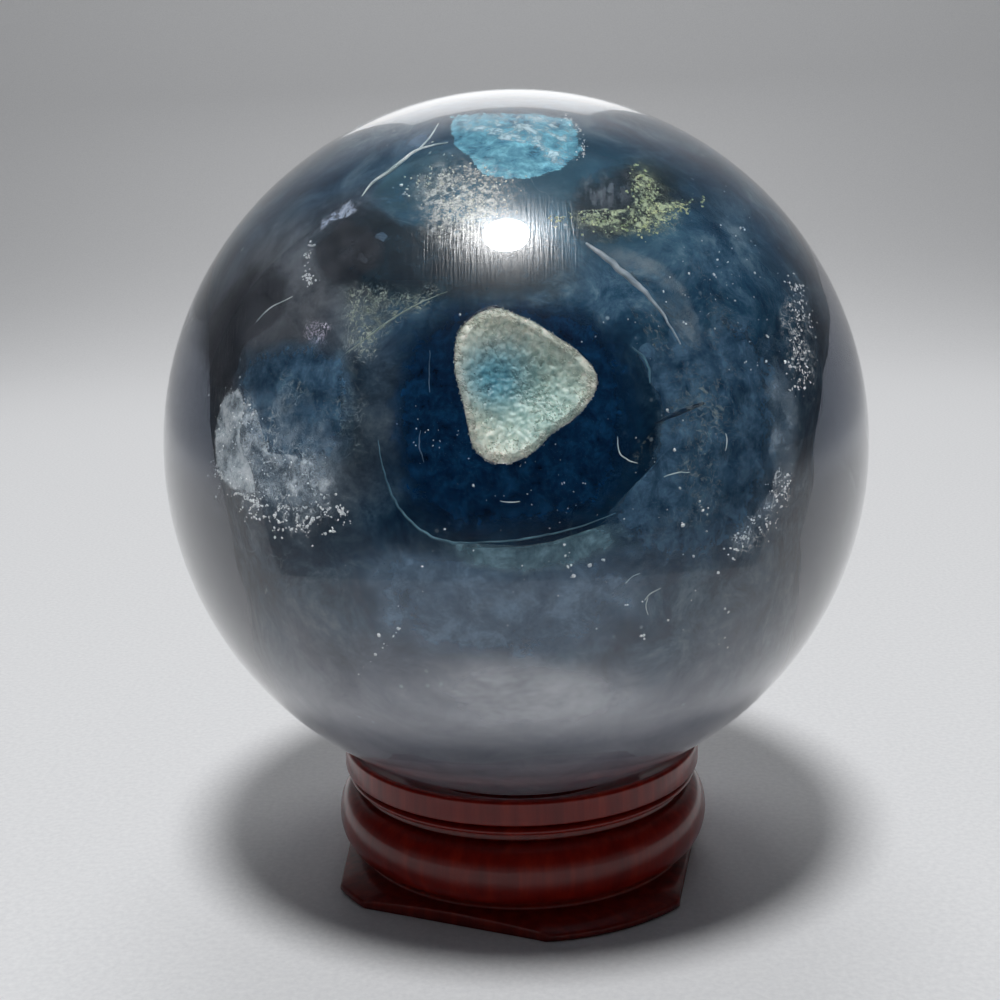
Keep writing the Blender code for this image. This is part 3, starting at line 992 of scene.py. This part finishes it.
def grain_material(name, dark, light):
    """The finish of crumbs and threads, from a dark to a light colour."""
    material, nodes, links, shader = new_material(name)
    cloud = object_noise(nodes, links, 700, 2)
    links.new(colour_ramp(nodes, links, cloud, ((0.35, dark), (0.65, light))), shader.inputs["Base Color"])
    shader.inputs["Roughness"].default_value = 0.4
    return material


def uneven_outline(x, y, reach, seed):
    """A closed outline about a pixel, wider than high, of a reach in pixels that wanders."""
    corners = 9
    wander = 0.9
    height = 0.7
    marks = []
    for corner in range(corners):
        turn = tau * corner / corners
        away = reach * (1 + wander * noise.noise(Vector((2 * cos(turn), 2 * sin(turn), seed))))
        marks.append((x + away * cos(turn), y + height * away * sin(turn)))
    return marks


def fill_other_sides(films, grit, line):
    """Films like those in front, round the sides and back, with crumbs on some and a crack on others."""
    random = np.random.default_rng(FAR_SEED)
    middle_x, middle_y, radius = BALL_PIXEL
    for number in range(FAR_FILM_COUNT):
        turned = random.uniform(*FAR_TURNS)
        way, away = random.uniform(0, tau), radius * FAR_SPREAD * sqrt(random.uniform(0, 1))
        x, y = middle_x + away * cos(way), middle_y - FAR_RISE + away * sin(way)
        outline = uneven_outline(x, y, random.uniform(*FAR_SIZES), number * 3.7)
        film = films[number % len(films)]
        lay_veil(f"far_film_{number + 1}", outline, random.uniform(*FAR_REACHES), film, FAR_CELLS, turned)
        if number % FAR_EVERY == 0:
            path = [(*mark, random.uniform(4, 12)) for mark in outline[:5]]
            scatter_crumbs(
                f"far_crumbs_{number + 1}", path, FAR_GRIT_COUNT, FAR_GRIT_SIZE, FAR_GRIT_REACH, grit,
                60 + number, FAR_GRIT_LACE, turned,
            )
        elif number % FAR_EVERY == 1:
            path = [(*mark, width) for mark, width in zip(outline[2:6], FAR_CRACK_WIDTHS)]
            lay_thread(f"far_crack_{number + 1}", path, FAR_GRIT_REACH, line, turned)


def make_inclusions():
    """All that is sealed in the stone, in the places where the photograph shows it."""
    films = {name: veil_material(name, *look) for name, look in FILM_LOOKS.items()}
    grains = {name: grain_material(name, *look) for name, look in GRAIN_LOOKS.items()}
    for name, (look, reach, cells, outline) in FILMS.items():
        lay_veil(name, outline, reach, films[look], cells)
    for name, (look, reach, points) in THREADS.items():
        lay_thread(name, points, reach, grains[look])
    for number, points in enumerate(HAIRS):
        lay_thread(f"hair_{number + 1}", points, HAIR_REACH, grains["pale_cracks"])
    for name, (look, count, size, reach, seed, lace, points) in CRUMBS.items():
        scatter_crumbs(name, points, count, size, reach, grains[look], seed, lace)
    far_films = [films[look] for look in FAR_LOOKS]
    fill_other_sides(far_films, grains["white_crumbs"], grains["pale_cracks"])


def crust_depth(share):
    """How deep the crust lies, from the pocket's middle to its edge: a bowl with a rim nearly flush."""
    if share < RIM_START:
        return CRUST_DEPTH * (1 - (share / RIM_START) ** 2.2) + RIM_DEPTH
    return RIM_DEPTH + RIM_FALL * ((share - RIM_START) / (1 - RIM_START)) ** 3


def pocket_point(turn, share, depth):
    """A point of the pocket, by turn, by share of the way from its middle to its edge, and by depth."""
    angle = share * pocket_reach(turn) / BALL_RADIUS
    flat = Vector((cos(turn) * sin(angle), sin(turn) * sin(angle), cos(angle)))
    return pocket_axes() @ flat * (BALL_RADIUS - depth) + BALL_CENTRE


def make_druse():
    """The sugary crust that lines the pocket and ends in a pale rim flush with the polish."""
    rings = 100
    back_rings = 8
    back_share = 0.985
    back_gap = 0.2 * MM
    sides = 340
    coarse, middling, fine = 520, 1700, 3400
    select_none()
    bpy.ops.mesh.primitive_circle_add(vertices=sides, radius=POCKET_SIZE, fill_type="NOTHING")
    druse = take("druzy_crust")
    bpy.ops.object.mode_set(mode="EDIT")
    for ring in range(rings + back_rings):
        bpy.ops.mesh.extrude_region_move(TRANSFORM_OT_translate={"value": (0, 0, 0)})
    bpy.ops.object.mode_set(mode="OBJECT")
    shares = [ring / rings for ring in range(1, rings + 1)]
    shares += [back_share * ring / back_rings for ring in range(back_rings, -1, -1)]
    for number, point in enumerate(druse.data.vertices):
        ring, side = divmod(number, sides)
        share = shares[ring]
        turn = tau * side / sides
        if ring >= rings:
            point.co = pocket_point(turn, share, POCKET_DEPTH * (1 - share**3) + back_gap)
            continue
        spot = pocket_point(turn, share, 0)
        grain = noise.noise(spot * fine) * 0.5 + noise.noise(spot * middling) * 0.7
        lump_height = noise.noise(spot * coarse)
        ease = 1 - share**6
        depth = crust_depth(share) + (grain * (0.10 + 0.06 * ease) + lump_height * 0.16 * ease) * MM
        point.co = pocket_point(turn, share + grain * 0.008, max(depth, 0.01 * MM))
    bpy.ops.object.mode_set(mode="EDIT")
    bpy.ops.mesh.select_all(action="SELECT")
    bpy.ops.mesh.remove_doubles(threshold=0.001 * MM)
    bpy.ops.mesh.select_all(action="DESELECT")
    bpy.ops.mesh.select_non_manifold()
    bpy.ops.mesh.edge_face_add()
    bpy.ops.mesh.select_all(action="SELECT")
    bpy.ops.mesh.normals_make_consistent(inside=False)
    bpy.ops.object.mode_set(mode="OBJECT")
    druse.data.shade_smooth()
    sugar = druse_material()
    hand_over(druse, sugar)
    make_druse_grains(sugar)


def make_druse_grains(sugar):
    """Sugar-like crystals that stand on the crust, thickest along its rim, which they make ragged."""
    count = 4600
    sizes = (0.04 * MM, 0.10 * MM)
    random = np.random.default_rng(21)
    places, faces = [], []
    corners, sides = crumb_pattern()
    for number in range(count):
        at_rim = number % 2
        turn = random.uniform(0, tau)
        share = random.uniform(0.86, 1.005) if at_rim else sqrt(random.uniform(0, 0.8))
        spot = pocket_point(turn, share, crust_depth(min(share, 1)) + 0.02 * MM)
        size = random.uniform(*sizes) * (1.0 if at_rim else 0.8)
        add_crumb(places, faces, corners, sides, spot, size, random)
    hand_over(piece_from_lists("druzy_grains", places, faces), sugar)


def druse_material():
    """Cream at the rim, sea blue to the left of the bowl and pale green to its right."""
    material, nodes, links, shader = new_material("sugary_druse")
    shader.inputs["Roughness"].default_value = 0.45
    shader.inputs["Subsurface Weight"].default_value = 0.45
    shader.inputs["Subsurface Radius"].default_value = (0.6 * MM, 0.9 * MM, 1.0 * MM)
    shader.inputs["Subsurface Scale"].default_value = 1.0
    grain = object_noise(nodes, links, 1500, 4, 0.6)
    colour = colour_ramp(nodes, links, grain, (
        (0.30, (0.44, 0.54, 0.48)),
        (0.50, (0.70, 0.77, 0.67)),
        (0.70, (0.93, 0.95, 0.84)),
    ))
    place = ball_place(nodes, links)
    sea = colour_ramp(nodes, links, grain, ((0.3, (0.03, 0.18, 0.27)), (0.7, (0.17, 0.48, 0.60))))
    green = colour_ramp(nodes, links, grain, ((0.3, (0.26, 0.44, 0.42)), (0.7, (0.60, 0.78, 0.71))))
    for pixel, inner, outer, tint in ((BOWL_PIXEL, 0.06, 0.17, green), (SEA_PIXEL, 0.03, 0.125, sea)):
        middle = on_ball(*pixel) / BALL_RADIUS
        colour = blend_colours(nodes, links, near(nodes, links, place, middle, inner, outer), colour, tint)
    links.new(colour, shader.inputs["Base Color"])
    bump(nodes, links, shader.inputs["Normal"], grain, 0.4, 0.12 * MM)
    return material


def arc(centre, radii, start, end, steps):
    """Points on an elliptic arc of the turned profile, in degrees from outwards towards the top."""
    angles = np.radians(np.linspace(start, end, steps + 1))
    return [(centre[0] + radii[0] * cos(angle), centre[1] + radii[1] * sin(angle)) for angle in angles]


def seat_height(radius):
    """Height of the dished top, which the ball touches at its inner edge and leaves at the rim."""
    share = (radius - SEAT_RADIUS) / (RIM_RADIUS - SEAT_RADIUS)
    gap = SEAT_GAP + (RIM_GAP - SEAT_GAP) * share
    return BALL_CENTRE.z - sqrt((SPHERE_RADIUS + gap) ** 2 - radius**2)


def upper_profile():
    """Radius and height from the foot's groove over bead, fillet, collar and seat, and down the bore."""
    groove_middle = (FOOT_TOP + BEAD_BOTTOM) / 2
    bead_root = COLLAR_RADIUS - UPPER_GROOVE_DEPTH
    points = [(FOOT_GROOVE_RADIUS, FOOT_TOP), (FOOT_GROOVE_RADIUS, groove_middle)]
    bead_reach = (BEAD_RADIUS - bead_root, BEAD_HEIGHT / 2)
    points += arc((bead_root, (BEAD_BOTTOM + BEAD_TOP) / 2), bead_reach, -78, 90, 28)
    points.append((bead_root, FILLET_BOTTOM))
    thin_groove_radius = COLLAR_RADIUS - THIN_GROOVE_DEPTH
    fillet_reach = (COLLAR_RADIUS - FILLET_INSET - thin_groove_radius, FILLET_HEIGHT / 2)
    points += arc((thin_groove_radius, (FILLET_BOTTOM + FILLET_TOP) / 2), fillet_reach, -78, 90, 12)
    points.append((thin_groove_radius, COLLAR_BOTTOM))
    arris_middle = (COLLAR_RADIUS - COLLAR_ARRIS, COLLAR_BOTTOM + COLLAR_ARRIS)
    points += arc(arris_middle, (COLLAR_ARRIS, COLLAR_ARRIS), -90, 0, 4)
    edge_middle = (RIM_RADIUS, COLLAR_TOP - COLLAR_EDGE_RADIUS)
    points += arc(edge_middle, (COLLAR_EDGE_RADIUS, COLLAR_EDGE_RADIUS), 0, 90, 8)
    points += [(radius, seat_height(radius)) for radius in np.linspace(RIM_RADIUS, SEAT_RADIUS, 12)[1:]]
    bore_edge = (BORE_RADIUS + SEAT_INNER_EASING, seat_height(SEAT_RADIUS) - SEAT_INNER_EASING)
    points += arc(bore_edge, (SEAT_INNER_EASING, SEAT_INNER_EASING), 90, 180, 5)[1:]
    points += arc((SEAT_RADIUS, SEAT_INNER_EASING), (SEAT_INNER_EASING, SEAT_INNER_EASING), 180, 270, 5)
    return points


def turn_on_lathe(name, profile, steps):
    """Draws a profile of radius and height and turns it once round the upright axis."""
    select_none()
    radius, height = profile[0]
    bpy.ops.mesh.primitive_circle_add(vertices=3, radius=MM, location=(radius, 0, height))
    piece = take(name)
    place_in_mesh()
    bpy.ops.object.mode_set(mode="EDIT")
    bpy.ops.mesh.select_all(action="SELECT")
    bpy.ops.mesh.merge(type="CENTER")
    for (radius, height), (next_radius, next_height) in zip(profile, profile[1:]):
        step = (float(next_radius - radius), 0, float(next_height - height))
        bpy.ops.mesh.extrude_region_move(TRANSFORM_OT_translate={"value": step})
    bpy.ops.mesh.select_all(action="SELECT")
    bpy.ops.mesh.spin(steps=steps, angle=tau, center=(0, 0, 0), axis=(0, 0, 1))
    bpy.ops.mesh.select_all(action="SELECT")
    bpy.ops.mesh.remove_doubles(threshold=0.005 * MM)
    bpy.ops.mesh.normals_make_consistent(inside=False)
    bpy.ops.object.mode_set(mode="OBJECT")
    return piece


def make_ring_stand():
    """The turned ring on a foot with four uneven, planed flats."""
    foot_profile = [
        (SEAT_RADIUS, 0),
        (FOOT_RADIUS - FOOT_EDGE_EASING, 0),
        (FOOT_RADIUS, FOOT_EDGE_EASING),
        (FOOT_RADIUS, FOOT_EDGE_HEIGHT - FOOT_EDGE_EASING),
        (FOOT_RADIUS - FOOT_EDGE_EASING, FOOT_EDGE_HEIGHT),
        (FOOT_GROOVE_RADIUS, FOOT_TOP),
    ]
    foot = turn_on_lathe("stand_foot", foot_profile, STAND_STEPS)
    bpy.ops.object.mode_set(mode="EDIT")
    for facing, depth in FOOT_FLATS:
        way = (cos(radians(facing)), sin(radians(facing)), 0)
        place = [part * (FOOT_RADIUS - depth) for part in way]
        bpy.ops.mesh.select_all(action="SELECT")
        bpy.ops.mesh.bisect(plane_co=place, plane_no=way, use_fill=True, clear_outer=True)
    bpy.ops.object.mode_set(mode="OBJECT")
    stand = turn_on_lathe("turned_ring_stand", upper_profile(), STAND_STEPS)
    select_none()
    foot.select_set(True)
    stand.select_set(True)
    bpy.context.view_layer.objects.active = stand
    bpy.ops.object.join()
    bpy.ops.object.mode_set(mode="EDIT")
    bpy.ops.mesh.select_all(action="SELECT")
    bpy.ops.mesh.remove_doubles(threshold=0.005 * MM)
    bpy.ops.mesh.normals_make_consistent(inside=False)
    bpy.ops.object.mode_set(mode="OBJECT")
    crease = radians(38)
    apply_modifier(stand, "BEVEL", width=0.12 * MM, segments=2, angle_limit=crease, harden_normals=False)
    bpy.ops.object.shade_smooth_by_angle(angle=crease)
    return hand_over(stand, lacquer_material(), "ring_stand")


def lacquer_material():
    """Red-brown lacquer over turned hardwood."""
    material, nodes, links, shader = new_material("red_brown_lacquer")
    grain = object_noise(nodes, links, 900, 8, 0.6, (1, 1, 0.08))
    colour = colour_ramp(nodes, links, grain, (
        (0.25, (0.085, 0.0022, 0.0012)),
        (0.50, (0.150, 0.0048, 0.0022)),
        (0.75, (0.235, 0.0130, 0.0045)),
    ))
    links.new(colour, shader.inputs["Base Color"])
    shader.inputs["Roughness"].default_value = 0.35
    shader.inputs["Specular IOR Level"].default_value = 0.1
    shader.inputs["Coat Weight"].default_value = 0.6
    shader.inputs["Coat Roughness"].default_value = 0.10
    bump(nodes, links, shader.inputs["Normal"], grain, 0.08, 0.1 * MM)
    return material


def make_studio_sweep():
    """A pale table top that sweeps up into a backdrop."""
    half = 1.6
    table_back = 0.34
    sweep_radius = 0.5
    wall_height = 1.2
    select_none()
    bpy.ops.mesh.primitive_plane_add(size=2 * half, location=(0, table_back - half, 0))
    sweep = take("studio_sweep")
    place_in_mesh()
    select_where(sweep, lambda place: place.y > table_back - MM)
    bpy.ops.object.mode_set(mode="EDIT")
    bpy.ops.mesh.spin(steps=24, angle=-pi / 2, center=(0, table_back, sweep_radius), axis=(1, 0, 0))
    bpy.ops.mesh.extrude_region_move(TRANSFORM_OT_translate={"value": (0, 0, wall_height)})
    bpy.ops.object.mode_set(mode="OBJECT")
    sweep.data.shade_smooth()
    material, nodes, links, shader = new_material("pale_studio_sweep")
    weave = object_noise(nodes, links, 1800, 3, 0.6)
    colour = colour_ramp(nodes, links, weave, ((0.3, (0.66, 0.665, 0.68)), (0.7, (0.74, 0.745, 0.755))))
    links.new(colour, shader.inputs["Base Color"])
    shader.inputs["Roughness"].default_value = 0.9
    sweep.data.materials.append(material)


def make_dark_card():
    """A low dark card round the front, which only the polish mirrors, as the dark side of a room would be."""
    radius = 88 * MM
    height = 140 * MM
    pale_foot = 30 * MM
    select_none()
    bpy.ops.mesh.primitive_cylinder_add(
        vertices=72, radius=radius, depth=height, end_fill_type="NOTHING", location=(0, 0, height / 2)
    )
    card = take("dark_card")
    place_in_mesh()
    select_where(card, lambda place: place.y > -0.3 * radius)
    bpy.ops.object.mode_set(mode="EDIT")
    bpy.ops.mesh.delete(type="VERT")
    bpy.ops.object.mode_set(mode="OBJECT")
    material, nodes, links, shader = new_material("dark_card")
    place = nodes.new("ShaderNodeTexCoord")
    split = nodes.new("ShaderNodeSeparateXYZ")
    links.new(place.outputs["Object"], split.inputs["Vector"])
    low = ease_between(nodes, links, split.outputs["Z"], 0, pale_foot, 1.0, 0.0)
    colour = blend_colours(nodes, links, low, (0.004, 0.004, 0.005), (0.6, 0.6, 0.6))
    links.new(colour, shader.inputs["Base Color"])
    shader.inputs["Roughness"].default_value = 1.0
    shader.inputs["Specular IOR Level"].default_value = 0.0
    card.data.materials.append(material)
    for kind in ("camera", "diffuse", "transmission", "shadow"):
        setattr(card, f"visible_{kind}", False)


def make_light():
    """A dim room, a key almost overhead, a soft panel above and behind, and the inclusions' own lamps."""
    world = bpy.data.worlds.new("studio")
    bpy.context.scene.world = world
    world.use_nodes = True
    nodes = world.node_tree.nodes
    links = world.node_tree.links
    place = nodes.new("ShaderNodeTexCoord")
    split = nodes.new("ShaderNodeSeparateXYZ")
    links.new(place.outputs["Generated"], split.inputs["Vector"])
    height = split.outputs["Z"]
    table_glow = ease_between(nodes, links, height, 0.02, 0.40, 0.05, 0.01)
    overhead = ease_between(nodes, links, height, 0.55, 0.95, 0.0, 0.18)
    sky = nodes["Background"]
    sky.inputs["Color"].default_value = (0.93, 0.96, 1.0, 1)
    links.new(calculate(nodes, links, "ADD", table_glow, overhead), sky.inputs["Strength"])
    key = add_lamp("key", (-0.02, -0.26, 0.965), 0.7, 0.07, "SPOT", 15.5, False)
    key.data.spot_size = radians(66)
    key.data.spot_blend = 0.7
    panel = add_lamp("soft_panel", (-0.025, 0.88, 0.475), 0.6, 0.26, "RECTANGLE", 0.25, True)
    panel.data.size_y = 0.27
    backdrop_lamp = add_lamp("backdrop_lamp", (0.0, 0.42, 0.90), 1.0, 0.4, "SQUARE", 3.2, False)
    backdrop_lamp.visible_glossy = False
    backdrop_lamp.rotation_euler = Vector((0.0, -0.62, 0.78)).to_track_quat("Z", "Y").to_euler()
    inner_key = add_lamp("key_for_inclusions", (-0.02, -0.40, 0.92), 0.7, 0.25, "DISK", 2.4, False)
    inner_fill = add_lamp("fill_for_inclusions", (-0.10, -0.95, 0.30), 0.9, 0.8, "DISK", 1.3, False)
    inner_back = add_lamp("back_fill_for_inclusions", (0.15, 0.95, 0.30), 0.9, 0.8, "DISK", 1.1, False)
    inner_base = add_lamp("base_fill_for_inclusions", (0.0, -0.55, -0.83), 0.9, 0.8, "DISK", 2.7, False)
    for lamp in (inner_key, inner_fill, inner_back, inner_base):
        lamp.light_linking.receiver_collection = inside_the_crystal
        lamp.data.use_shadow = False
        lamp.visible_glossy = False


def add_lamp(name, way, distance, size, shape, power, seen_through):
    """A lamp at a distance from the ball, facing it: a spot with a round face, or a panel."""
    towards = Vector(way).normalized()
    lamp_data = bpy.data.lights.new(name, "SPOT" if shape == "SPOT" else "AREA")
    if shape == "SPOT":
        lamp_data.shadow_soft_size = size
    else:
        lamp_data.shape = shape
        lamp_data.size = size
        lamp_data.size_y = size / 2
    lamp_data.energy = power
    lamp = bpy.data.objects.new(name, lamp_data)
    lamp.location = BALL_CENTRE + towards * distance
    lamp.rotation_euler = towards.to_track_quat("Z", "Y").to_euler()
    lamp.visible_camera = False
    lamp.visible_transmission = seen_through
    bpy.context.scene.collection.objects.link(lamp)
    return lamp


def make_camera():
    """The camera that was fitted to the photograph."""
    camera_data = bpy.data.cameras.new("camera")
    camera_data.sensor_width = 36
    camera_data.lens = LENS_PIXELS / PHOTO_WIDTH * camera_data.sensor_width
    camera_data.clip_start = 0.01
    camera = bpy.data.objects.new("camera", camera_data)
    turn = camera_axes().transposed().to_4x4()
    camera.matrix_world = Matrix.Translation(camera_place()) @ turn
    bpy.context.scene.collection.objects.link(camera)
    bpy.context.scene.camera = camera


make_camera()
make_light()
make_studio_sweep()
make_dark_card()
make_ring_stand()
make_polished_ball()
make_smoke()
make_blue_heart()
make_inclusions()
make_druse()
bpy.context.scene.view_settings.view_transform = "Standard"
